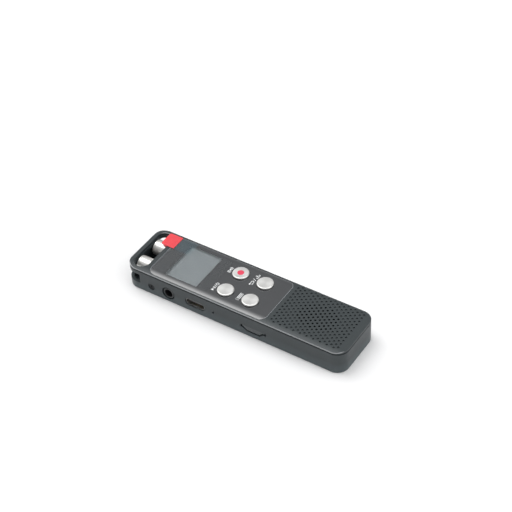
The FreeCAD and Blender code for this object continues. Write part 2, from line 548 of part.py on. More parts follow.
def make_sockets():
    """Headphone jack, charging socket, memory card socket with its dust plug, and reset switch."""
    wall_in = "-sheet.body_width / 2 + sheet.wall"
    face = "-sheet.body_width / 2"
    jack = new_body("headphone_jack", "sheet.jack_x", 0, "sheet.jack_z")
    block(jack, "Y", f"{wall_in} + 0.05", "sheet.jack_deep", "sheet.jack_wide", "sheet.jack_tall", 0, 0, 0.3)
    disc(jack, "Y", f"{face} + sheet.jack_recess", "sheet.wall", "sheet.jack_nose")
    disc(jack, "Y", f"{face} - 1", 13, "sheet.jack_bore", cut=True)

    shell = new_body("charge_socket_shell", "sheet.usb_x", 0, "sheet.usb_z")
    mouth = f"{face} + sheet.usb_recess"
    block(shell, "Y", mouth, "sheet.usb_deep", "sheet.usb_wide", "sheet.usb_tall", 0, 0,
          "sheet.usb_tall / 2 - 0.01")
    block(shell, "Y", f"{mouth} - 1", "sheet.usb_deep + 0.6", "sheet.usb_wide - 2 * sheet.usb_sheet",
          "sheet.usb_tall - 2 * sheet.usb_sheet", 0, 0, "sheet.usb_tall / 2 - sheet.usb_sheet - 0.01",
          cut=True)
    tongue = new_body("charge_socket_tongue", "sheet.usb_x", 0, "sheet.usb_z")
    block(tongue, "Y", f"{mouth} + 0.9", "sheet.usb_deep - 1.3", 6.7, 0.7, 0, 0, 0.2)

    on_board = "sheet.main_board_z + sheet.board_thick"
    socket = new_body("card_socket", "sheet.slot_x")
    block(socket, "Z", on_board, 1.95, 14.0, 14.5, 0, f"{wall_in} + 0.35 + 7.25", 0.3)
    block(socket, "Y", f"{wall_in} - 1", 14.0, 11.4, 0.96, 0, 4.3, cut=True)
    plug = new_body("card_slot_plug", "sheet.slot_x")
    outline = new_sketch(plug, "Y", f"{face} + 0.12")
    draw_outline(outline, slot_outline(size_of("sheet.plug_end"), size_of("sheet.plug_floor"), 0.12))
    pad(plug, outline, "Y", "sheet.wall - 0.2")
    block(plug, "Y", f"{face} + 1", 3.0, 10.6, 0.7, 0, 4.3, 0.2)

    reset = new_body("reset_switch", "sheet.pinhole_x")
    block(reset, "Z", on_board, 2.6, 3.4, 2.6, 0, f"{wall_in} + 1.85", 0.2)
    disc(reset, "Y", f"{wall_in} + 0.15", 1, 0.5, 0, "sheet.pinhole_z")


# ---------------------------------------------------------------- boards

def make_boards():
    """Main board, key board, the connector between them, and the larger parts on the main board."""
    main = new_body("main_board")
    block(main, "Z", "sheet.main_board_z", "sheet.board_thick", "sheet.main_board_long",
          "sheet.main_board_wide", "sheet.main_board_x", 0, 0.8)
    block(main, "Z", "sheet.main_board_z - 1", 4, "sheet.jack_wide + 0.4", 14.0, "sheet.jack_x", -5.8,
          cut=True)
    for x, y in BOARD_SCREWS:
        disc(main, "Z", "sheet.main_board_z - 1", 4, "sheet.tub_screw + 0.15", x, y, cut=True)
    keys = new_body("key_board")
    block(keys, "Z", "sheet.key_board_z", "sheet.board_thick", "sheet.key_board_long", "sheet.display_wide",
          "sheet.key_board_x", 0, 0.8)
    for x, y in COVER_SCREWS:
        disc(keys, "Z", "sheet.key_board_z - 1", 4, "sheet.cover_screw + 0.15", x, y, cut=True)
    top = "sheet.main_board_z + sheet.board_thick"
    box_node("board_connector", (-17, 3.3, top), (10, 3.4, f"sheet.key_board_z - ({top})"))
    box_node("processor", (-21, -4.0, top), (7, 7, 0.9))
    box_node("memory_chip", (-4.5, -5, top), (6, 8, 0.9))
    box_node("power_coil", (-12.5, -4, top), (4, 4, 2.0), 0.8)


def screw_solid(name, head, head_tall, shank, length, drive):
    """One screw along +Z with its head at the bottom and a slot across the head."""
    top = doc.addObject("Part::Cylinder", f"{name}_head")
    top.setExpression("Radius", str(head))
    top.setExpression("Height", str(head_tall))
    stem = doc.addObject("Part::Cylinder", f"{name}_stem")
    stem.setExpression("Radius", str(shank))
    stem.setExpression("Height", f"{head_tall} + {length}")
    whole = doc.addObject("Part::Fuse", f"{name}_whole")
    whole.Base = top
    whole.Tool = stem
    for number in range(2):
        slot = doc.addObject("Part::Box", f"{name}_slot{number}")
        slot.setExpression("Length", str(drive))
        slot.Width = 0.28
        slot.Height = 0.3
        turn = FreeCAD.Rotation(FreeCAD.Vector(0, 0, 1), 90 * number)
        middle = turn.multVec(FreeCAD.Vector(-size_of(drive) / 2, -0.14, 0))
        slot.Placement = FreeCAD.Placement(middle, turn)
        cut = doc.addObject("Part::Cut", f"{name}_cut{number}")
        cut.Base = whole
        cut.Tool = slot
        whole = cut
    return whole


def make_screws():
    """Main board screws, key board screws, and the screw on each side of the microphone end."""
    head_tall = "sheet.screw_head_tall"
    board = screw_solid("tub_screw_pattern", "sheet.screw_head", head_tall, "sheet.tub_screw", 2.2, 1.6)
    cover = screw_solid("cover_screw_pattern", "sheet.screw_head", head_tall, "sheet.cover_screw", 2.1, 1.6)
    small = screw_solid("side_screw_pattern", "sheet.side_screw_head", 0.45, "sheet.cover_screw", 1.5, 1.7)
    down = FreeCAD.Rotation(FreeCAD.Vector(1, 0, 0), 180)
    top = size_of("sheet.main_board_z + sheet.board_thick + sheet.screw_head_tall")
    repeat_node("main_board_screws", board, [(x, y, top, down) for x, y in BOARD_SCREWS])
    low = size_of("sheet.key_board_z - sheet.screw_head_tall")
    repeat_node("key_board_screws", cover, [(x, y, low) for x, y in COVER_SCREWS])
    face = size_of("sheet.body_width / 2 - sheet.side_screw_deep")
    x = size_of("sheet.side_screw_x")
    z = size_of("sheet.side_screw_z")
    places = []
    for side in SIDES:
        inward = FreeCAD.Rotation(FreeCAD.Vector(0, 0, 1), FreeCAD.Vector(0, -side, 0))
        places.append((x, side * face, z, inward))
    repeat_node("side_screws", small, places)


# ---------------------------------------------------------------- sound and power

def make_microphones():
    """Two metal microphone barrels with a capsule and a mesh each, in one rubber holder."""
    for name, side in (("left", -1), ("right", 1)):
        y = f"{side} * sheet.mic_y"
        barrel = new_body(f"mic_barrel_{name}", "sheet.mic_front", y, "sheet.mic_z")
        disc(barrel, "X", 0, "sheet.mic_long", "sheet.mic_radius")
        round_edges(barrel, 0.45, lambda edge: edge.BoundBox.XMax < 0.001)
        disc(barrel, "X", -1, "sheet.mic_long + 2", "sheet.mic_bore", cut=True)
        groove = new_sketch(barrel, "X", 0.85)
        draw_circle(groove, "sheet.mic_radius + 1")
        draw_circle(groove, "sheet.mic_radius - 0.25")
        pocket(barrel, groove, "X", 0.22)
    front = size_of("sheet.mic_front")
    places = [(front, side * size_of("sheet.mic_y"), size_of("sheet.mic_z")) for side in SIDES]
    mesh = new_body("mic_mesh_pattern", is_node=False)
    disc(mesh, "X", 0.25, 0.3, "sheet.mic_bore")
    repeat_node("mic_meshes", mesh, places)
    capsule = new_body("mic_capsule_pattern", is_node=False)
    disc(capsule, "X", 0.9, 4.5, "sheet.mic_bore - 0.02")
    repeat_node("mic_capsules", capsule, places)
    holder = new_body("mic_holder")
    back = "sheet.holder_back - sheet.holder_wall"
    block(holder, "X", back, "sheet.holder_wall", "sheet.holder_wide", 8.2, 0, "sheet.floor + 4.1", 0.6)
    block(holder, "X", f"{back} - 4.5", 4.6, 15.6, 3.2, 0, "sheet.floor + 1.6", 0.4)
    for side in SIDES:
        disc(holder, "X", -48, 11, "sheet.mic_radius", f"{side} * sheet.mic_y", "sheet.mic_z", cut=True)


def make_speaker():
    """Speaker frame, magnet, cone, foam gasket and the cloth under the open grille holes."""
    x = "sheet.grille_x"
    y = "sheet.grille_y"
    low = "sheet.speaker_top - sheet.speaker_tall"
    frame = new_body("speaker_frame", x, y)
    block(frame, "Z", low, "sheet.speaker_tall", "sheet.speaker_long", "sheet.speaker_wide", 0, 0, 2.5)
    block(frame, "Z", f"{low} + 1.2", 3, "sheet.speaker_long - 1.4", "sheet.speaker_wide - 1.4", 0, 0, 1.9,
          cut=True)
    block(frame, "Z", f"{low} - 1", 3, 9.0, 6.0, 0, 0, 1.0, cut=True)
    magnet = new_body("speaker_magnet", x, y)
    block(magnet, "Z", f"{low} + 0.1", 1.7, 9.0, 6.0, 0, 0, 1.0)
    cone = new_body("speaker_cone", x, y)
    block(cone, "Z", "sheet.speaker_top - 0.7", 0.2, "sheet.speaker_long - 1.4", "sheet.speaker_wide - 1.4",
          0, 0, 1.9)
    block(cone, "Z", "sheet.speaker_top - 0.6", 0.3, 8.0, 5.0, 0, 0, 1.2)
    gasket = new_body("speaker_gasket", x, y)
    outer = ("sheet.speaker_long", "sheet.speaker_wide", 2.5)
    inner = ("sheet.speaker_long - 1.6", "sheet.speaker_wide - 1.6", 1.7)
    ring(gasket, "Z", "sheet.speaker_top", "sheet.tub_height - 0.1 - sheet.speaker_top", outer, inner)
    mesh = new_body("speaker_mesh", x, y)
    block(mesh, "Z", "sheet.tub_height - 0.1", 0.1, "sheet.speaker_long + 1", "sheet.speaker_wide + 1.6",
          0, 0, 2.5)


def make_battery():
    """Flat pouch cell with its protection strip, on an adhesive pad under the speaker."""
    pad_tall = "sheet.battery_low - sheet.floor"
    cushion = new_body("battery_pad", "sheet.battery_x")
    block(cushion, "Z", "sheet.floor", pad_tall, "sheet.battery_long - 4", "sheet.battery_wide - 4")
    cell = new_body("battery", "sheet.battery_x")
    block(cell, "Z", "sheet.battery_low", "sheet.battery_tall", "sheet.battery_long", "sheet.battery_wide",
          0, 0, 1.6)
    low = size_of("sheet.battery_low")
    high = size_of("sheet.battery_low + sheet.battery_tall")

    def pouch_rim(edge):
        box = edge.BoundBox
        return box.ZMax < low + 0.001 or box.ZMin > high - 0.001
    round_edges(cell, 0.9, pouch_rim)
    box_node("battery_board", ("sheet.battery_x - sheet.battery_long / 2 - 0.8", -7, 2.4), (0.8, 14, 2.6))


def wire(path, radius):
    """A round wire along straight runs joined by tangent arcs; path is (point, bend radius) pairs."""
    edges = []
    points = [FreeCAD.Vector(*point) for point, bend in path]
    start = points[0]
    for number in range(1, len(points) - 1):
        corner = points[number]
        before = (points[number - 1] - corner).normalize()
        after = (points[number + 1] - corner).normalize()
        half = before.getAngle(after) / 2
        bend = path[number][1]
        reach = bend / math.tan(half)
        first = corner + before * reach
        last = corner + after * reach
        middle_way = (before + after).normalize()
        middle = corner + middle_way * (bend / math.sin(half) - bend)
        edges.append(Part.LineSegment(start, first).toShape())
        edges.append(Part.Arc(first, middle, last).toShape())
        start = last
    edges.append(Part.LineSegment(start, points[-1]).toShape())
    spine = Part.Wire(edges)
    heading = points[1] - points[0]
    section = Part.Wire([Part.Circle(points[0], heading, radius).toShape()])
    return spine.makePipeShell([section], True, False)


def wire_node(label, paths, radius):
    """A node of identical thin wires, one solid each."""
    node = doc.addObject("Part::Feature", label)
    node.Shape = Part.Compound([wire(path, radius) for path in paths])
    node.Placement = FreeCAD.Placement()
    NODES.append(node)


def make_wires():
    """Leads of the battery, the speaker and the two microphones, all inside the shell."""
    cell_end = size_of("sheet.battery_x - sheet.battery_long / 2 - 0.8")
    board_top = size_of("sheet.main_board_z + sheet.board_thick")
    battery = []
    for y in (5.5, 6.7):
        battery.append([((cell_end, y, 4.4), 0), ((cell_end - 1.6, y, 4.4), 0.6),
                        ((cell_end - 1.6, y, board_top), 0)])
    wire_node("battery_leads", battery, 0.3)
    speaker_end = size_of("sheet.grille_x - sheet.speaker_long / 2")
    speaker = []
    for y in (-3.6, -2.6):
        speaker.append([((speaker_end, y, 7.4), 0), ((21.2, y, 7.4), 1.2), ((18.1, y - 5.2, 5.6), 1.2),
                        ((18.1, y - 5.2, 1.6), 0)])
    wire_node("speaker_leads", speaker, 0.3)
    back = size_of("sheet.mic_front + 5.4")
    mic = []
    for side in (-1, 1):
        for shift in (-0.6, 0.6):
            y = side * size_of("sheet.mic_y") + shift
            mic.append([((back, y, 6.0), 0), ((-36.6, y, 6.0), 1.1), ((-34.6, y, 4.6), 0.8),
                        ((-34.6, y, board_top), 0)])
    wire_node("mic_leads", mic, 0.25)


make_tub()
make_cover()
make_panel()
make_display()
make_buttons()
make_side_controls()
make_sockets()
make_boards()
make_screws()
make_microphones()
make_speaker()
make_battery()
make_wires()
doc.recompute()

for item in doc.Objects:
    if "Invalid" in item.State or "Error" in item.State:
        raise SystemExit(f"{item.Name} ({item.Label}) did not recompute: {item.State}")
for body in BODIES:
    volume = 0.0
    for feature in body.Group:
        if feature.TypeId in ("PartDesign::Pad", "PartDesign::Pocket"):
            change = feature.Shape.Volume - volume
            if (change > 0) != (feature.TypeId == "PartDesign::Pad"):
                raise SystemExit(f"{body.Label}: {feature.Name} changed nothing")
        if feature.isDerivedFrom("PartDesign::Feature"):
            volume = feature.Shape.Volume
for node in NODES:
    if node.Shape.isNull() or not node.Shape.isValid():
        raise SystemExit(f"{node.Label} has no valid shape")

os.makedirs("parts", exist_ok=True)
for node in NODES:
    node.Shape.exportStep(os.path.join("parts", f"{node.Label}.step"))
    print(f"{node.Label:24s} solids {len(node.Shape.Solids)}  volume {node.Shape.Volume:9.2f}")
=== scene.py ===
import json
import math

import bmesh
import bpy
from mathutils import Matrix, Vector


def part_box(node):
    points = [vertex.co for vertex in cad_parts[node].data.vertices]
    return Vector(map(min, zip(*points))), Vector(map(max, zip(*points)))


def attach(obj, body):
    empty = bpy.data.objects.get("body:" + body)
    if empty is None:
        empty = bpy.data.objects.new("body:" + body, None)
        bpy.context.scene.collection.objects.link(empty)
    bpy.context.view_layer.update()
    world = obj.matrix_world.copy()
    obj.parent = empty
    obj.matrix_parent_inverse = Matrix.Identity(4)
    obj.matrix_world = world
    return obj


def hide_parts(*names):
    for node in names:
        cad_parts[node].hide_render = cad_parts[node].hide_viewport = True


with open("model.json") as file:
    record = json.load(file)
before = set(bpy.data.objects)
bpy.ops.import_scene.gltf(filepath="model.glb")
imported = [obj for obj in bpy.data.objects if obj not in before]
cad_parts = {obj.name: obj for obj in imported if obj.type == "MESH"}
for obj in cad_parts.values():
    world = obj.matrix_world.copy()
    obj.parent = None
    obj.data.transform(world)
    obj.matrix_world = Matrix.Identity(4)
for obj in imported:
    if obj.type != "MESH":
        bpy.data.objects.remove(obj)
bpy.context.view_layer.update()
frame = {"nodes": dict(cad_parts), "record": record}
NODES = frame["nodes"]
MM = 0.001

# ------------------------------------------------------------------ places, from the frame

LENS_LOW, LENS_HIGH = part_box("front_lens")
WINDOW_CENTRE = (-25.0 * MM, 0.0)
WINDOW_SIZE = (14.8 * MM, 18.8 * MM)
UNDERSIDE_SPREAD = 1.2 * MM
LENS_CORNER = 3.0 * MM
JACK_AXIS_HIGH = 4.3 * MM
JACK_BORE = 1.86 * MM
# painted light at the tub's foot: how high it reaches, and how much lighter the tone is at the bottom
FOOT_HIGH = 5.0 * MM
FOOT_PAINTED_LIGHT = 2.5
RIM_LOW = 9.9 * MM
PAINT = (0.026, 0.034, 0.037)
EDGE_LINE = 0.16 * MM
CELL_PITCH = 0.29 * MM
TONE_SHIFT = 0.12  # share by which a grained or metal tone varies either way
SCUFF = 0.06  # how far a grained surface's roughness varies in all
SHARP_ANGLE = 0.6  # radians; a sharper edge isn't smoothed


def middle(node):
    """Centre of a node's box."""
    low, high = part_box(node)
    return (low + high) / 2


# ------------------------------------------------------------------ shader building

class Shader:
    """A node material under construction."""

    def __init__(self, name):
        self.material = bpy.data.materials.new(name)
        self.material.use_nodes = True
        self.tree = self.material.node_tree
        self.tree.nodes.clear()
        self.output = self.tree.nodes.new("ShaderNodeOutputMaterial")

    def node(self, kind, values=None, **settings):
        """A node with its settings and socket values."""
        made = self.tree.nodes.new(f"ShaderNode{kind}")
        for key, value in settings.items():
            setattr(made, key, value)
        for key, value in (values or {}).items():
            self.feed(made.inputs[key], value)
        return made

    def feed(self, socket, value):
        """Give a socket a link from another socket, or a value of its own."""
        if isinstance(value, bpy.types.NodeSocket):
            self.tree.links.new(value, socket)
        else:
            socket.default_value = value

    def math(self, operation, first, second=0.0, third=0.0):
        """A math node's result."""
        made = self.node("Math", {0: first, 1: second, 2: third}, operation=operation)
        return made.outputs[0]

    def mix(self, factor, first, second):
        """Two colours mixed."""
        made = self.node("Mix", data_type="RGBA")
        colours = [socket for socket in made.inputs if socket.type == "RGBA"]
        for socket, value in zip((made.inputs[0], *colours), (factor, first, second)):
            self.feed(socket, value)
        return [socket for socket in made.outputs if socket.type == "RGBA"][0]

    def hypot(self, first, second):
        """The length of a flat vector from its two parts."""
        return self.math("SQRT", self.math("ADD", self.math("MULTIPLY", first, first),
                                           self.math("MULTIPLY", second, second)))

    def place(self):
        """The object's own coordinates, in metres."""
        return self.node("TexCoord").outputs["Object"]

    def split(self, vector):
        """The three parts of a vector."""
        return self.node("SeparateXYZ", {0: vector}).outputs

    def noise(self, scale, detail=3.0, roughness=0.55, vector=None):
        """Noise at a scale in cycles per metre."""
        values = {"Vector": vector or self.place(), "Scale": scale, "Detail": detail, "Roughness": roughness}
        return self.node("TexNoise", values).outputs["Fac"]

    def ramp(self, value, low, high):
        """A value stretched so that low becomes 0 and high becomes 1, and held there."""
        values = {"Value": value, "From Min": low, "From Max": high, "To Min": 0.0, "To Max": 1.0}
        return self.node("MapRange", values).outputs["Result"]

    def between(self, value, low, high):
        """1 where the value lies between two limits."""
        above = self.math("GREATER_THAN", value, low)
        below = self.math("LESS_THAN", value, high)
        return self.math("MULTIPLY", above, below)

    def reflectance(self, straight_on):
        """How much a clear sheet mirrors, the same from either side: little straight on, more at a slant."""
        slant = self.node("LayerWeight", {"Blend": 0.5}).outputs["Facing"]
        return self.math("MULTIPLY_ADD", self.math("POWER", slant, 5.0), 1.0 - straight_on, straight_on)

    def bump(self, height, strength, distance):
        """A normal bent by a height."""
        values = {"Strength": strength, "Distance": distance, "Height": height}
        return self.node("Bump", values).outputs["Normal"]

    def surface(self, values):
        """A principled surface."""
        return self.node("BsdfPrincipled", values).outputs["BSDF"]

    def finish(self, shader):
        """Connect the surface and return the material."""
        self.tree.links.new(shader, self.output.inputs["Surface"])
        return self.material


def grey(value):
    """An opaque colour without a hue."""
    return (value, value, value, 1.0)


def shade(colour, factor):
    """A colour made lighter or darker."""
    return (colour[0] * factor, colour[1] * factor, colour[2] * factor, 1.0)


def grained(name, colour, roughness, metallic=0.0, grain=9000.0, depth=0.006, coat=0.0):
    """A moulded or painted surface: fine grain, slow shifts of colour, uneven gloss."""
    s = Shader(name)
    slow = s.noise(140.0, 4.0)
    fine = s.noise(grain, 2.0)
    tone = s.mix(s.ramp(slow, 0.3, 0.7), shade(colour, 1.0 - TONE_SHIFT), shade(colour, 1.0 + TONE_SHIFT))
    tone = s.mix(s.math("MULTIPLY", fine, 0.25), tone, shade(colour, 1.35))
    gloss = s.math("ADD", roughness - SCUFF / 2, s.math("MULTIPLY", slow, SCUFF))
    values = {"Base Color": tone, "Roughness": gloss, "Metallic": metallic, "Coat Weight": coat,
              "Coat Roughness": 0.12, "Normal": s.bump(fine, 0.35, depth * MM)}
    return s.finish(s.surface(values))


def wall_paint():
    """Satin paint over metal on the tub: fine grain and faint rub marks, with painted light making the tone
    lighter towards the foot.
    """
    s = Shader("tub paint")
    tone, gloss, grain = satin(s)
    height = s.split(s.place())[2]
    # painted light: the tone grows lighter towards the foot, standing in for light from the bright floor
    tone = s.mix(s.ramp(height, FOOT_HIGH, 0.0), tone, shade(PAINT, FOOT_PAINTED_LIGHT))
    return s.finish(s.surface({"Base Color": tone, "Roughness": gloss, "Metallic": 0.1, "Normal": grain}))


def cover_paint():
    """The same paint on the cover, with a brighter cut edge where the top bends along the sides: partly a
    real bright cut edge, partly a painted highlight, kept to the long sides and fading towards +x.
    """
    s = Shader("cover paint")
    tone, gloss, grain = satin(s)
    facing = s.split(s.node("TexCoord").outputs["Normal"])
    u, _, height = s.split(s.place())
    # partly painted highlight: the bright cut edge is limited to the long sides and fades along the length
    cut = s.math("MULTIPLY", s.between(facing[2], 0.45, 0.86), s.math("GREATER_THAN", height, RIM_LOW))
    cut = s.math("MULTIPLY", cut, s.ramp(s.math("ABSOLUTE", facing[1]), 0.35, 0.6))
    cut = s.math("MULTIPLY", cut, s.math("MULTIPLY_ADD", s.ramp(u, 15.0 * MM, 30.0 * MM), -0.3, 1.0))
    tone = s.mix(cut, tone, (0.56, 0.58, 0.60, 1))
    gloss = s.math("SUBTRACT", gloss, s.math("MULTIPLY", cut, 0.12))
    metallic = s.math("MULTIPLY_ADD", cut, 0.8, 0.1)
    return s.finish(s.surface({"Base Color": tone, "Roughness": gloss, "Metallic": metallic,
                               "Normal": grain}))


def satin(s):
    """The body paint's tone, roughness and grain."""
    slow = s.noise(90.0, 5.0)
    fine = s.noise(7000.0, 2.0)
    drawn_out = s.node("Mapping", {"Vector": s.place(), "Scale": (0.25, 1.0, 1.0)}).outputs[0]
    rubs = s.noise(700.0, 6.0, 0.7, drawn_out)
    tone = s.mix(s.ramp(slow, 0.3, 0.7), shade(PAINT, 0.93), shade(PAINT, 1.07))
    tone = s.mix(s.ramp(fine, 0.35, 0.75), tone, shade(PAINT, 1.18))
    gloss = s.math("MULTIPLY_ADD", rubs, 0.12, 0.36)
    return tone, gloss, s.bump(fine, 0.22, 0.004 * MM)


def panel_gloss():
    """Front panel: smoked gloss with a bright cut edge, clear over the display window.

    Its underside is clear a little further out. For shadow rays so is the smoked top, unlike real glass,
    which keeps the display free of a dark strip under the window's edge.
    """
    s = Shader("front panel")
    u, v, height = s.split(s.place())
    along = s.math("ABSOLUTE", s.math("SUBTRACT", u, WINDOW_CENTRE[0]))
    across = s.math("ABSOLUTE", s.math("SUBTRACT", v, WINDOW_CENTRE[1]))
    under = s.math("LESS_THAN", height, LENS_LOW.z + 0.1 * MM)
    lighting = s.node("LightPath").outputs["Is Shadow Ray"]
    spread = s.math("MULTIPLY", s.math("MAXIMUM", under, lighting), UNDERSIDE_SPREAD)
    inside = s.math("MULTIPLY", s.math("LESS_THAN", along, s.math("ADD", spread, WINDOW_SIZE[0] / 2)),
                    s.math("LESS_THAN", across, s.math("ADD", spread, WINDOW_SIZE[1] / 2)))
    smear = s.noise(60.0, 5.0, 0.6)
    speck = s.noise(5000.0, 1.0)
    rim = s.math("GREATER_THAN", outside_of_panel(s, u, v), -EDGE_LINE)
    rim = s.math("MULTIPLY", rim, s.math("GREATER_THAN", v, LENS_LOW.y + 1.2 * MM))
    tone = s.mix(s.ramp(smear, 0.35, 0.7), (0.030, 0.033, 0.037, 1), (0.036, 0.039, 0.043, 1))
    tone = s.mix(rim, tone, (0.26, 0.28, 0.30, 1))
    gloss = s.math("ADD", 0.07, s.math("MULTIPLY", s.ramp(smear, 0.4, 0.8), 0.05))
    smooth = s.bump(speck, 0.05, 0.002 * MM)
    dark = s.surface({"Base Color": tone, "Roughness": gloss, "Coat Weight": 1.0, "Coat Roughness": 0.04,
                      "Specular IOR Level": 0.6, "Normal": smooth})
    clear = s.node("BsdfTransparent", {"Color": (0.93, 0.95, 0.95, 1)}).outputs[0]
    shine = s.node("BsdfGlossy", {"Color": grey(1.0), "Roughness": 0.05}).outputs[0]
    glass = s.node("MixShader", {0: s.reflectance(0.04), 1: clear, 2: shine}).outputs[0]
    return s.finish(s.node("MixShader", {0: inside, 1: dark, 2: glass}).outputs[0])


def outside_of_panel(s, u, v):
    """How far a point lies outside the panel's rounded outline; inside it is negative."""
    middle_u = (LENS_LOW.x + LENS_HIGH.x) / 2
    reach_u = (LENS_HIGH.x - LENS_LOW.x) / 2 - LENS_CORNER
    reach_v = (LENS_HIGH.y - LENS_LOW.y) / 2 - LENS_CORNER
    past_u = s.math("SUBTRACT", s.math("ABSOLUTE", s.math("SUBTRACT", u, middle_u)), reach_u)
    past_v = s.math("SUBTRACT", s.math("ABSOLUTE", v), reach_v)
    round_u = s.math("MAXIMUM", past_u, 0.0)
    round_v = s.math("MAXIMUM", past_v, 0.0)
    corner = s.hypot(round_u, round_v)
    straight = s.math("MINIMUM", s.math("MAXIMUM", past_u, past_v), 0.0)
    return s.math("SUBTRACT", s.math("ADD", corner, straight), LENS_CORNER)


def film_clear(name, tint, mirror, haze):
    """Thin clear film: a tint, a little bluish haze and a soft shine."""
    s = Shader(name)
    waves = s.noise(120.0, 3.0)
    clear = s.node("BsdfTransparent", {"Color": tint}).outputs[0]
    mist = s.node("BsdfDiffuse", {"Color": (0.1, 0.55, 0.85, 1)}).outputs[0]
    sheet = s.node("MixShader", {0: haze, 1: clear, 2: mist}).outputs[0]
    bent = s.bump(waves, 0.25, 0.05 * MM)
    shine = s.node("BsdfGlossy", {"Color": grey(1.0), "Roughness": 0.12, "Normal": bent}).outputs[0]
    return s.finish(s.node("MixShader", {0: s.reflectance(mirror), 1: sheet, 2: shine}).outputs[0])


def tab_red():
    """Translucent red tab with a mottled tone."""
    s = Shader("red tab")
    mottled = s.noise(900.0, 4.0)
    fibre = s.noise(4000.0, 2.0)
    tone = s.mix(s.ramp(mottled, 0.3, 0.7), (0.98, 0.095, 0.115, 1), (1.0, 0.125, 0.15, 1))
    solid = s.surface({"Base Color": tone, "Roughness": 0.35, "Specular IOR Level": 0.4,
                       "Normal": s.bump(fibre, 0.1, 0.003 * MM)})
    through = s.node("BsdfTranslucent", {"Color": tone}).outputs[0]
    return s.finish(s.node("MixShader", {0: 0.35, 1: solid, 2: through}).outputs[0])


def display_grey():
    """Unlit display: grey with a faint cell grid and a slow cloud of tone."""
    s = Shader("unlit display")
    from_middle = []
    for part in s.split(s.place())[:2]:
        in_cell = s.math("FRACT", s.math("DIVIDE", part, CELL_PITCH))
        from_middle.append(s.math("ABSOLUTE", s.math("SUBTRACT", in_cell, 0.5)))
    lines = s.math("GREATER_THAN", s.math("MAXIMUM", *from_middle), 0.45)
    cloud = s.noise(70.0, 3.0)
    tone = s.mix(s.ramp(cloud, 0.3, 0.7), (0.285, 0.288, 0.305, 1), (0.300, 0.302, 0.318, 1))
    tone = s.mix(s.math("MULTIPLY", lines, 0.05), tone, (0.2, 0.21, 0.21, 1))
    return s.finish(s.surface({"Base Color": tone, "Roughness": 0.28, "Specular IOR Level": 0.4}))


def spun_metal():
    """Turned aluminium: fine rings about the axis and a highlight that fans out from the centre."""
    s = Shader("spun aluminium")
    generated = s.node("TexCoord").outputs["Generated"]
    offset = s.node("VectorMath", {0: generated, 1: (0.5, 0.5, 0.0)}, operation="SUBTRACT").outputs[0]
    radius = s.hypot(*s.split(offset)[:2])
    rings = s.node("TexNoise", {"W": radius, "Scale": 190.0, "Detail": 3.0},
                   noise_dimensions="1D").outputs["Fac"]
    tone = s.mix(rings, (0.665, 0.665, 0.655, 1), (0.775, 0.775, 0.76, 1))
    turn = s.node("Tangent", direction_type="RADIAL", axis="Z").outputs[0]
    values = {"Base Color": tone, "Metallic": 1.0, "Roughness": 0.36, "Anisotropic": 0.35, "Tangent": turn,
              "Normal": s.bump(rings, 0.12, 0.01 * MM)}
    return s.finish(s.surface(values))


def metal(name, colour, roughness):
    """Bare or plated metal with a fine grain."""
    s = Shader(name)
    grain = s.noise(2500.0, 3.0, 0.6)
    tone = s.mix(grain, shade(colour, 1.0 - TONE_SHIFT), shade(colour, 1.0 + TONE_SHIFT))
    gloss = s.math("ADD", roughness - 0.05, s.math("MULTIPLY", grain, 0.1))
    return s.finish(s.surface({"Base Color": tone, "Metallic": 1.0, "Roughness": gloss,
                               "Normal": s.bump(grain, 0.25, 0.004 * MM)}))


def socket_plating():
    """Plated shell of a socket: painted shade on the front and inside, painted light on its upward-facing
    floor.
    """
    s = Shader("socket plating")
    lines = s.noise(2500.0, 3.0, 0.6)
    # painted light and shade: upward faces get a bright tone, the rest a dark one
    painted_light_upward = s.ramp(s.split(s.node("NewGeometry").outputs["Normal"])[2], 0.3, 0.8)
    tone = s.mix(lines, (0.16, 0.16, 0.155, 1), (0.22, 0.22, 0.215, 1))
    tone = s.mix(painted_light_upward, tone, (0.88, 0.88, 0.86, 1))
    return s.finish(s.surface({"Base Color": tone, "Metallic": 1.0, "Roughness": 0.4,
                               "Normal": s.bump(lines, 0.25, 0.004 * MM)}))


def satin_barrel():
    """Drawn aluminium: bright, with a faint blasted grain."""
    s = Shader("microphone barrel")
    blasted = s.noise(6000.0, 3.0)
    tone = s.mix(blasted, (0.76, 0.755, 0.73, 1), (0.86, 0.855, 0.83, 1))
    return s.finish(s.surface({"Base Color": tone, "Metallic": 0.7, "Roughness": 0.3,
                               "Normal": s.bump(blasted, 0.15, 0.004 * MM)}))


def jack_plastic():
    """Moulded black plastic round the headphone bore, duller inside it and painted darker there as shade."""
    s = Shader("jack plastic")
    u, _, height = s.split(s.place())
    aside = s.math("SUBTRACT", u, middle("headphone_jack").x)
    above = s.math("SUBTRACT", height, JACK_AXIS_HIGH)
    bore = s.math("LESS_THAN", s.hypot(aside, above), JACK_BORE)
    grain = s.noise(6000.0, 3.0)
    outer = s.mix(grain, (0.050, 0.055, 0.058, 1), (0.062, 0.067, 0.070, 1))
    # painted shade: the inside of the bore is painted nearly black
    tone = s.mix(bore, outer, (0.006, 0.006, 0.007, 1))
    gloss = s.math("MULTIPLY_ADD", bore, 0.4, 0.4)
    return s.finish(s.surface({"Base Color": tone, "Roughness": gloss, "Specular IOR Level": 0.3,
                               "Normal": s.bump(grain, 0.2, 0.004 * MM)}))


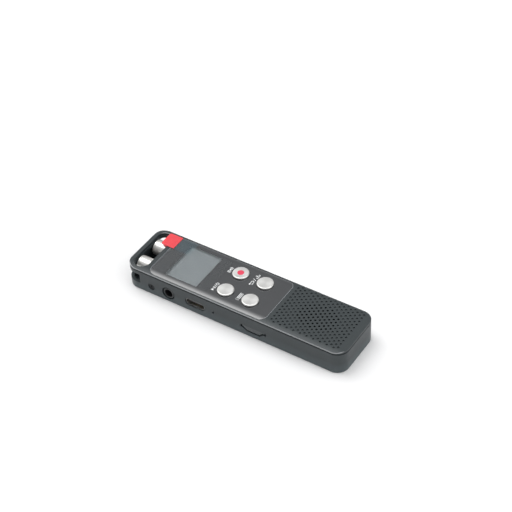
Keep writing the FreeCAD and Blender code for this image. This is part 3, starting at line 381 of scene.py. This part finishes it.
def woven(name, colour, pitch, roughness, metallic):
    """A fine square weave, for cloth and for wire mesh."""
    s = Shader(name)
    turns = 2 * math.pi / pitch
    waves = [s.math("SINE", s.math("MULTIPLY", part, turns)) for part in s.split(s.place())]
    weave = s.math("MULTIPLY", s.math("ADD", waves[0], waves[2]), waves[1])
    lift_and_painted_shade = s.ramp(weave, -1.0, 1.0)
    # painted shade and light: the weave's low points are darkened, its crests lightened
    tone = s.mix(lift_and_painted_shade, shade(colour, 0.35), shade(colour, 1.3))
    return s.finish(s.surface({"Base Color": tone, "Roughness": roughness, "Metallic": metallic,
                               "Normal": s.bump(lift_and_painted_shade, 0.6, 0.03 * MM)}))


def circuit_board():
    """Green solder mask over copper tracks, with tinned pads."""
    s = Shader("circuit board")
    tracks = s.node("TexBrick", {"Vector": s.place(), "Scale": 320.0, "Color1": (0.015, 0.12, 0.05, 1),
                                 "Color2": (0.01, 0.09, 0.04, 1), "Mortar": (0.03, 0.2, 0.09, 1),
                                 "Mortar Size": 0.03}).outputs["Color"]
    pads = s.node("TexVoronoi", {"Vector": s.place(), "Scale": 650.0}).outputs["Distance"]
    dots = s.math("LESS_THAN", pads, 0.16)
    tone = s.mix(dots, tracks, (0.55, 0.55, 0.5, 1))
    tinned = s.math("MULTIPLY", dots, 0.9)
    return s.finish(s.surface({"Base Color": tone, "Roughness": 0.3, "Metallic": tinned,
                               "Normal": s.bump(tracks, 0.2, 0.02 * MM)}))


def battery_foil():
    """Aluminium laminate pouch, lightly creased."""
    s = Shader("battery foil")
    creases_and_painted_shade = s.noise(420.0, 6.0, 0.7)
    # painted shade and light: the tone follows the creases' height, darker in the folds
    tone = s.mix(creases_and_painted_shade, (0.55, 0.56, 0.58, 1), (0.78, 0.78, 0.79, 1))
    return s.finish(s.surface({"Base Color": tone, "Metallic": 0.9, "Roughness": 0.38,
                               "Normal": s.bump(creases_and_painted_shade, 0.5, 0.12 * MM)}))


def print_white():
    """Screen-printed white ink, slightly uneven."""
    s = Shader("white print")
    ink = s.noise(6000.0, 2.0)
    tone = s.mix(ink, (0.70, 0.72, 0.73, 1), (0.92, 0.93, 0.93, 1))
    return s.finish(s.surface({"Base Color": tone, "Roughness": 0.5,
                               "Normal": s.bump(ink, 0.2, 0.003 * MM)}))


def wire_cover():
    """Insulated hook-up wire: red towards one side, black towards the other."""
    s = Shader("wire insulation")
    v = s.split(s.place())[1]
    swap = s.math("GREATER_THAN", s.math("FRACT", s.math("DIVIDE", v, 2.4 * MM)), 0.5)
    tone = s.mix(swap, (0.4, 0.02, 0.02, 1), (0.02, 0.02, 0.02, 1))
    fine = s.noise(5000.0, 2.0)
    return s.finish(s.surface({"Base Color": tone, "Roughness": 0.45,
                               "Normal": s.bump(fine, 0.1, 0.004 * MM)}))


# ------------------------------------------------------------------ mesh building

def mesh_piece(name, build, material, body):
    """An object from a function that fills a bmesh, riding on a body."""
    shape = bmesh.new()
    build(shape)
    bmesh.ops.recalc_face_normals(shape, faces=shape.faces)
    data = bpy.data.meshes.new(name)
    shape.to_mesh(data)
    shape.free()
    piece = bpy.data.objects.new(name, data)
    bpy.context.scene.collection.objects.link(piece)
    for polygon in data.polygons:
        polygon.use_smooth = True
    data.set_sharp_from_angle(angle=SHARP_ANGLE)
    data.materials.append(material)
    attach(piece, body)
    return piece


def prism(shape, outline, low, high):
    """Extrude a closed outline of (x, y) points, counter-clockwise, from low to high."""
    bottom = [shape.verts.new((x, y, low)) for x, y in outline]
    top = [shape.verts.new((x, y, high)) for x, y in outline]
    count = len(outline)
    shape.faces.new(list(reversed(bottom)))
    shape.faces.new(top)
    for n in range(count):
        shape.faces.new((bottom[n], bottom[(n + 1) % count], top[(n + 1) % count], top[n]))


def arc(centre, radius, start, finish, steps):
    """Points along an arc, angles in degrees."""
    points = []
    for n in range(steps + 1):
        angle = math.radians(start + (finish - start) * n / steps)
        points.append((centre[0] + radius * math.cos(angle), centre[1] + radius * math.sin(angle)))
    return points


def rectangle(low_x, low_y, high_x, high_y):
    """The outline of an upright rectangle."""
    return [(low_x, low_y), (high_x, low_y), (high_x, high_y), (low_x, high_y)]


# ------------------------------------------------------------------ materials

MATERIALS = {
    "body_paint": wall_paint(),
    "cover_paint": cover_paint(),
    "lens_gloss": panel_gloss(),
    "mask_black": grained("black mask", (0.02, 0.02, 0.022), 0.5),
    "film_clear": film_clear("clear film", (0.99, 0.995, 0.995, 1), 0.006, 0.0),
    "tab_red": tab_red(),
    "display_grey": display_grey(),
    "backlight_white": grained("white diffuser", (0.8, 0.82, 0.82), 0.45),
    "flex_amber": grained("flexible circuit", (0.55, 0.27, 0.05), 0.3, grain=3000.0),
    "button_metal": spun_metal(),
    "dot_red": grained("red enamel", (0.70, 0.035, 0.085), 0.3, grain=5000.0, depth=0.002, coat=0.3),
    "plunger_black": grained("black plunger", (0.03, 0.03, 0.03), 0.4),
    "switch_metal": metal("switch plating", (0.6, 0.6, 0.58), 0.35),
    "control_paint": grained("key paint", PAINT, 0.4, metallic=0.2, grain=7000.0),
    "board_green": circuit_board(),
    "chip_black": grained("chip package", (0.03, 0.03, 0.032), 0.5, grain=6000.0, depth=0.01),
    "coil_ferrite": grained("ferrite", (0.1, 0.1, 0.1), 0.6, grain=3000.0, depth=0.02),
    "connector_ivory": grained("ivory connector", (0.72, 0.68, 0.56), 0.45),
    "socket_metal": socket_plating(),
    "tongue_black": grained("tongue plastic", (0.03, 0.03, 0.03), 0.4),
    "jack_black": jack_plastic(),
    "plug_rubber": grained("plug rubber", (0.062, 0.070, 0.074), 0.48, grain=8000.0, depth=0.008),
    "screw_dark": metal("blackened steel", (0.045, 0.048, 0.05), 0.5),
    "screw_zinc": metal("zinc plating", (0.62, 0.62, 0.6), 0.35),
    "mic_metal": satin_barrel(),
    "mic_mesh": woven("steel mesh", (0.3, 0.3, 0.31), 0.16 * MM, 0.4, 0.9),
    "mic_can": metal("capsule can", (0.62, 0.62, 0.63), 0.3),
    "holder_rubber": grained("holder rubber", (0.018, 0.018, 0.018), 0.6),
    "speaker_plastic": grained("speaker frame", (0.03, 0.03, 0.03), 0.45),
    "magnet_plated": metal("magnet plating", (0.62, 0.62, 0.6), 0.3),
    "cone_film": grained("speaker cone", (0.1, 0.1, 0.11), 0.3, grain=1500.0, depth=0.03),
    "foam_black": grained("foam", (0.03, 0.03, 0.03), 0.9, grain=4000.0, depth=0.06),
    "cloth_black": woven("acoustic cloth", (0.012, 0.012, 0.012), 0.12 * MM, 0.95, 0.0),
    "battery_foil": battery_foil(),
    "lead_red_black": wire_cover(),
}
for row in frame["record"]["subparts"]:
    slots = NODES[row["node"]].data.materials
    slots.clear()
    slots.append(MATERIALS[row["material_slot"]])

# ------------------------------------------------------------------ shipping film and its tape

SHEET_GAP = 0.012 * MM
FILM_CORNER = 0.8 * MM
TAPE = film_clear("clear tape", (0.98, 0.998, 0.996, 1), 0.012, 0.014)


def thin_sheet(name, node, outline, material):
    """A thin sheet in a node's place, a hair inside the node's top and bottom."""
    low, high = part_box(node)
    sheet = mesh_piece(name, lambda shape: prism(shape, outline, low.z + SHEET_GAP, high.z - SHEET_GAP),
                       material, "recorder")
    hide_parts(node)


def film_corner(x, y, start, inward_x, inward_y):
    """The arc at one corner of the film."""
    return arc((x + inward_x * FILM_CORNER, y + inward_y * FILM_CORNER), FILM_CORNER, start, start + 90, 6)


def lay_film():
    """The film, left out where its tape lies over it, and the clear tape that holds the pull tab."""
    low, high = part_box("screen_film")
    tape_low, tape_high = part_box("film_tab_strip")
    film = film_corner(high.x, high.y, 0, -1, -1)
    film += [(tape_high.x, high.y), (tape_high.x, tape_low.y), (low.x, tape_low.y)]
    film += film_corner(low.x, low.y, 180, 1, 1)
    film += film_corner(high.x, low.y, 270, -1, 1)
    thin_sheet("screen_film_sheet", "screen_film", film, MATERIALS["film_clear"])
    tape = rectangle(tape_low.x, tape_low.y, tape_high.x, tape_high.y)
    thin_sheet("film_tab_tape", "film_tab_strip", tape, TAPE)


lay_film()

# ------------------------------------------------------------------ printed icons on the panel

INK = print_white()
INK_LOW = LENS_HIGH.z + 0.004 * MM
INK_HIGH = LENS_HIGH.z + 0.022 * MM
ICON_REACH = 4.85 * MM
STROKE_STEPS = 20


def turned(points, centre):
    """Icon points drawn upright in millimetres, turned to read along the width and set at a place."""
    return [(centre[0] - v * MM, centre[1] + u * MM) for u, v in points]


def stroke(shape, centre, start, finish, wide):
    """A straight stroke between two icon points."""
    run = Vector(finish) - Vector(start)
    side = Vector((-run.y, run.x)).normalized() * wide / 2
    corners = [Vector(start) - side, Vector(finish) - side, Vector(finish) + side, Vector(start) + side]
    prism(shape, turned([tuple(c) for c in corners], centre), INK_LOW, INK_HIGH)


def ring_stroke(shape, centre, middle_point, radius, wide, start, finish):
    """An arc-shaped stroke about an icon point."""
    outer = arc(middle_point, radius + wide / 2, start, finish, STROKE_STEPS)
    inner = arc(middle_point, radius - wide / 2, finish, start, STROKE_STEPS)
    prism(shape, turned(outer + inner, centre), INK_LOW, INK_HIGH)


def icon_record(shape, centre):
    """A dot that sends out waves on both sides."""
    prism(shape, turned(arc((0, 0), 0.42, 0, 345, 23), centre), INK_LOW, INK_HIGH)
    for side in (0, 180):
        ring_stroke(shape, centre, (0, 0), 0.85, 0.26, side - 50, side + 50)
        ring_stroke(shape, centre, (0, 0), 1.38, 0.26, side - 32, side + 32)


def icon_play(shape, centre):
    """Play and pause, a slash, and a loop."""
    prism(shape, turned([(-2.3, -0.65), (-1.2, 0.0), (-2.3, 0.65)], centre), INK_LOW, INK_HIGH)
    for u in (-0.85, -0.4):
        stroke(shape, centre, (u, -0.6), (u, 0.6), 0.24)
    stroke(shape, centre, (0.1, -0.7), (0.55, 0.7), 0.22)
    ring_stroke(shape, centre, (1.55, -0.08), 0.58, 0.24, 125, 415)
    stroke(shape, centre, (1.55, 0.05), (1.55, 0.8), 0.24)


def icon_back(shape, centre):
    """An arrow that turns back, a slash, and an arrow down into a tray."""
    stroke(shape, centre, (-2.9, -0.5), (-1.4, -0.5), 0.26)
    ring_stroke(shape, centre, (-1.4, 0.0), 0.5, 0.26, -90, 90)
    stroke(shape, centre, (-1.4, 0.5), (-2.7, 0.5), 0.26)
    prism(shape, turned([(-3.5, 0.5), (-2.7, 0.05), (-2.7, 0.95)], centre), INK_LOW, INK_HIGH)
    stroke(shape, centre, (-0.3, -0.7), (0.3, 0.7), 0.24)
    stroke(shape, centre, (1.0, -0.6), (3.3, -0.6), 0.26)
    for u in (1.13, 3.17):
        stroke(shape, centre, (u, -0.45), (u, 0.0), 0.26)
    stroke(shape, centre, (2.15, 0.8), (2.15, 0.2), 0.28)
    prism(shape, turned([(2.15, -0.4), (2.65, 0.2), (1.65, 0.2)], centre), INK_LOW, INK_HIGH)


def icon_menu(shape, centre):
    """A list: three lines, each with its mark."""
    for v in (-0.55, 0.0, 0.55):
        stroke(shape, centre, (-1.95, v), (-1.6, v), 0.28)
        stroke(shape, centre, (-1.15, v), (1.95, v), 0.28)


ICONS = {"record": icon_record, "back": icon_back, "play": icon_play, "menu": icon_menu}
for button, draw in ICONS.items():
    spot = middle(f"{button}_button")
    centre = (spot.x - ICON_REACH, spot.y)
    mesh_piece(f"{button}_icon", lambda shape: draw(shape, centre), INK, "recorder")

# ------------------------------------------------------------------ small pieces in the sockets

GOLD = metal("gold contacts", (0.85, 0.62, 0.25), 0.25)
CONTACTS = 12
CONTACT_PITCH = 0.5 * MM
CONTACT_WIDE = 0.24 * MM
CONTACT_THICK = 0.03 * MM
CONTACT_START = 0.5 * MM
CONTACT_END = 4.5 * MM
RING_SIDES = 32
RING_LONG = 0.7 * MM
RING_OUTER = 1.79 * MM
RING_INNER = 1.68 * MM
RING_DEPTHS = (3.2 * MM, 6.4 * MM)


def usb_contacts(shape):
    """Rows of contacts on both faces of the socket's tongue."""
    low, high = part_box("charge_socket_tongue")
    for number in range(CONTACTS):
        x = middle("charge_socket_tongue").x + (number - (CONTACTS - 1) / 2) * CONTACT_PITCH
        outline = rectangle(x - CONTACT_WIDE / 2, low.y + CONTACT_START,
                            x + CONTACT_WIDE / 2, low.y + CONTACT_END)
        prism(shape, outline, high.z, high.z + CONTACT_THICK)
        prism(shape, outline, low.z - CONTACT_THICK, low.z)


mesh_piece("charge_socket_contacts", usb_contacts, GOLD, "recorder")


def jack_rings(shape):
    """Sprung contact rings let into the bore of the headphone jack."""
    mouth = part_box("headphone_jack")[0].y
    axis_x = middle("headphone_jack").x
    for depth in RING_DEPTHS:
        start = mouth + depth
        end = start + RING_LONG
        loops = []
        for radius, y in ((RING_OUTER, start), (RING_OUTER, end), (RING_INNER, end), (RING_INNER, start)):
            loop = []
            for n in range(RING_SIDES):
                angle = 2 * math.pi * n / RING_SIDES
                loop.append(shape.verts.new((axis_x + radius * math.cos(angle), y,
                                             JACK_AXIS_HIGH + radius * math.sin(angle))))
            loops.append(loop)
        for first in range(4):
            a, b = loops[first], loops[(first + 1) % 4]
            for n in range(RING_SIDES):
                after = (n + 1) % RING_SIDES
                shape.faces.new((a[n], a[after], b[after], b[n]))


mesh_piece("headphone_jack_contacts", jack_rings, GOLD, "recorder")

# ------------------------------------------------------------------ stage, light, camera

FLOOR_REACH = 4.0

scene = bpy.context.scene
floor_data = bpy.data.meshes.new("floor")
floor_shape = bmesh.new()
bmesh.ops.create_grid(floor_shape, x_segments=1, y_segments=1, size=FLOOR_REACH)
floor_shape.to_mesh(floor_data)
floor_shape.free()
floor = bpy.data.objects.new("floor", floor_data)
scene.collection.objects.link(floor)
paper = Shader("white paper")
paper_tone = paper.mix(paper.noise(4.0), (0.90, 0.90, 0.905, 1), (0.92, 0.92, 0.925, 1))
floor_data.materials.append(paper.finish(paper.surface({"Base Color": paper_tone, "Roughness": 0.9})))

scene.view_settings.view_transform = "Standard"

# each soft lamp: where it stands in the sky as x and y, how tight it is along x and y, its peak
LAMPS = (
    ((-0.33, 0.04), (6.0, 12.0), 4.7),
    ((0.10, 0.20), (1.0, 1.0), 0.5),
    ((0.75, 0.10), (5.0, 5.0), 1.3),
)
ROOM_LIGHT = 0.15
HORIZON_GLOW = 0.5
HORIZON_TIGHTNESS = 14.0
BACKDROP = 1.05


def studio_dome():
    """Wide soft lamps in a dim room with a pale backdrop round the horizon, which the camera sees."""
    world = bpy.data.worlds.new("studio")
    world.use_nodes = True
    tree = world.node_tree
    tree.nodes.clear()

    def math_node(operation, first, second=0.0, third=0.0):
        made = tree.nodes.new("ShaderNodeMath")
        made.operation = operation
        for number, value in enumerate((first, second, third)):
            if isinstance(value, bpy.types.NodeSocket):
                tree.links.new(value, made.inputs[number])
            else:
                made.inputs[number].default_value = value
        return made.outputs[0]

    def bell(value, centre, tightness):
        offset = math_node("SUBTRACT", value, centre)
        return math_node("MULTIPLY", math_node("MULTIPLY", offset, offset), -tightness)

    unit = tree.nodes.new("ShaderNodeVectorMath")
    unit.operation = "NORMALIZE"
    tree.links.new(tree.nodes.new("ShaderNodeTexCoord").outputs["Generated"], unit.inputs[0])
    split = tree.nodes.new("ShaderNodeSeparateXYZ")
    tree.links.new(unit.outputs[0], split.inputs[0])
    east, north, height = split.outputs
    band = math_node("EXPONENT", bell(height, 0.0, HORIZON_TIGHTNESS))
    light = math_node("MULTIPLY_ADD", band, HORIZON_GLOW, ROOM_LIGHT)
    for (lamp_x, lamp_y), (tight_x, tight_y), peak in LAMPS:
        fall_off = math_node("ADD", bell(east, lamp_x, tight_x), bell(north, lamp_y, tight_y))
        light = math_node("MULTIPLY_ADD", math_node("EXPONENT", fall_off), peak, light)
    seen = tree.nodes.new("ShaderNodeLightPath").outputs["Is Camera Ray"]
    lit = math_node("MULTIPLY", math_node("SUBTRACT", 1.0, seen), light)
    sky = tree.nodes.new("ShaderNodeBackground")
    sky.inputs["Color"].default_value = grey(1.0)
    tree.links.new(math_node("MULTIPLY_ADD", seen, BACKDROP, lit), sky.inputs["Strength"])
    result = tree.nodes.new("ShaderNodeOutputWorld")
    tree.links.new(sky.outputs[0], result.inputs["Surface"])
    return world


scene.world = studio_dome()

camera_data = bpy.data.cameras.new("camera")
camera = bpy.data.objects.new("camera", camera_data)
scene.collection.objects.link(camera)
camera_data.sensor_width = 36.0
camera_data.lens = 98.61
camera_data.clip_start = 0.01
camera_data.clip_end = 20.0
AZIMUTH = math.radians(34.973)
ELEVATION = math.radians(42.583)
ROLL = math.radians(-3.223)
DISTANCE = 551.098 * MM
SHIFT_RIGHT = 2.973 * MM
SHIFT_UP = 20.584 * MM
back = Vector((math.sin(AZIMUTH) * math.cos(ELEVATION), -math.cos(AZIMUTH) * math.cos(ELEVATION),
               math.sin(ELEVATION)))
level = Vector((math.cos(AZIMUTH), math.sin(AZIMUTH), 0))
upright = back.cross(level)
right = level * math.cos(ROLL) + upright * math.sin(ROLL)
up = upright * math.cos(ROLL) - level * math.sin(ROLL)
place = back * DISTANCE + right * SHIFT_RIGHT + up * SHIFT_UP
turn = Matrix((right, up, back)).transposed().to_4x4()
camera.matrix_world = Matrix.Translation(place) @ turn
scene.camera = camera
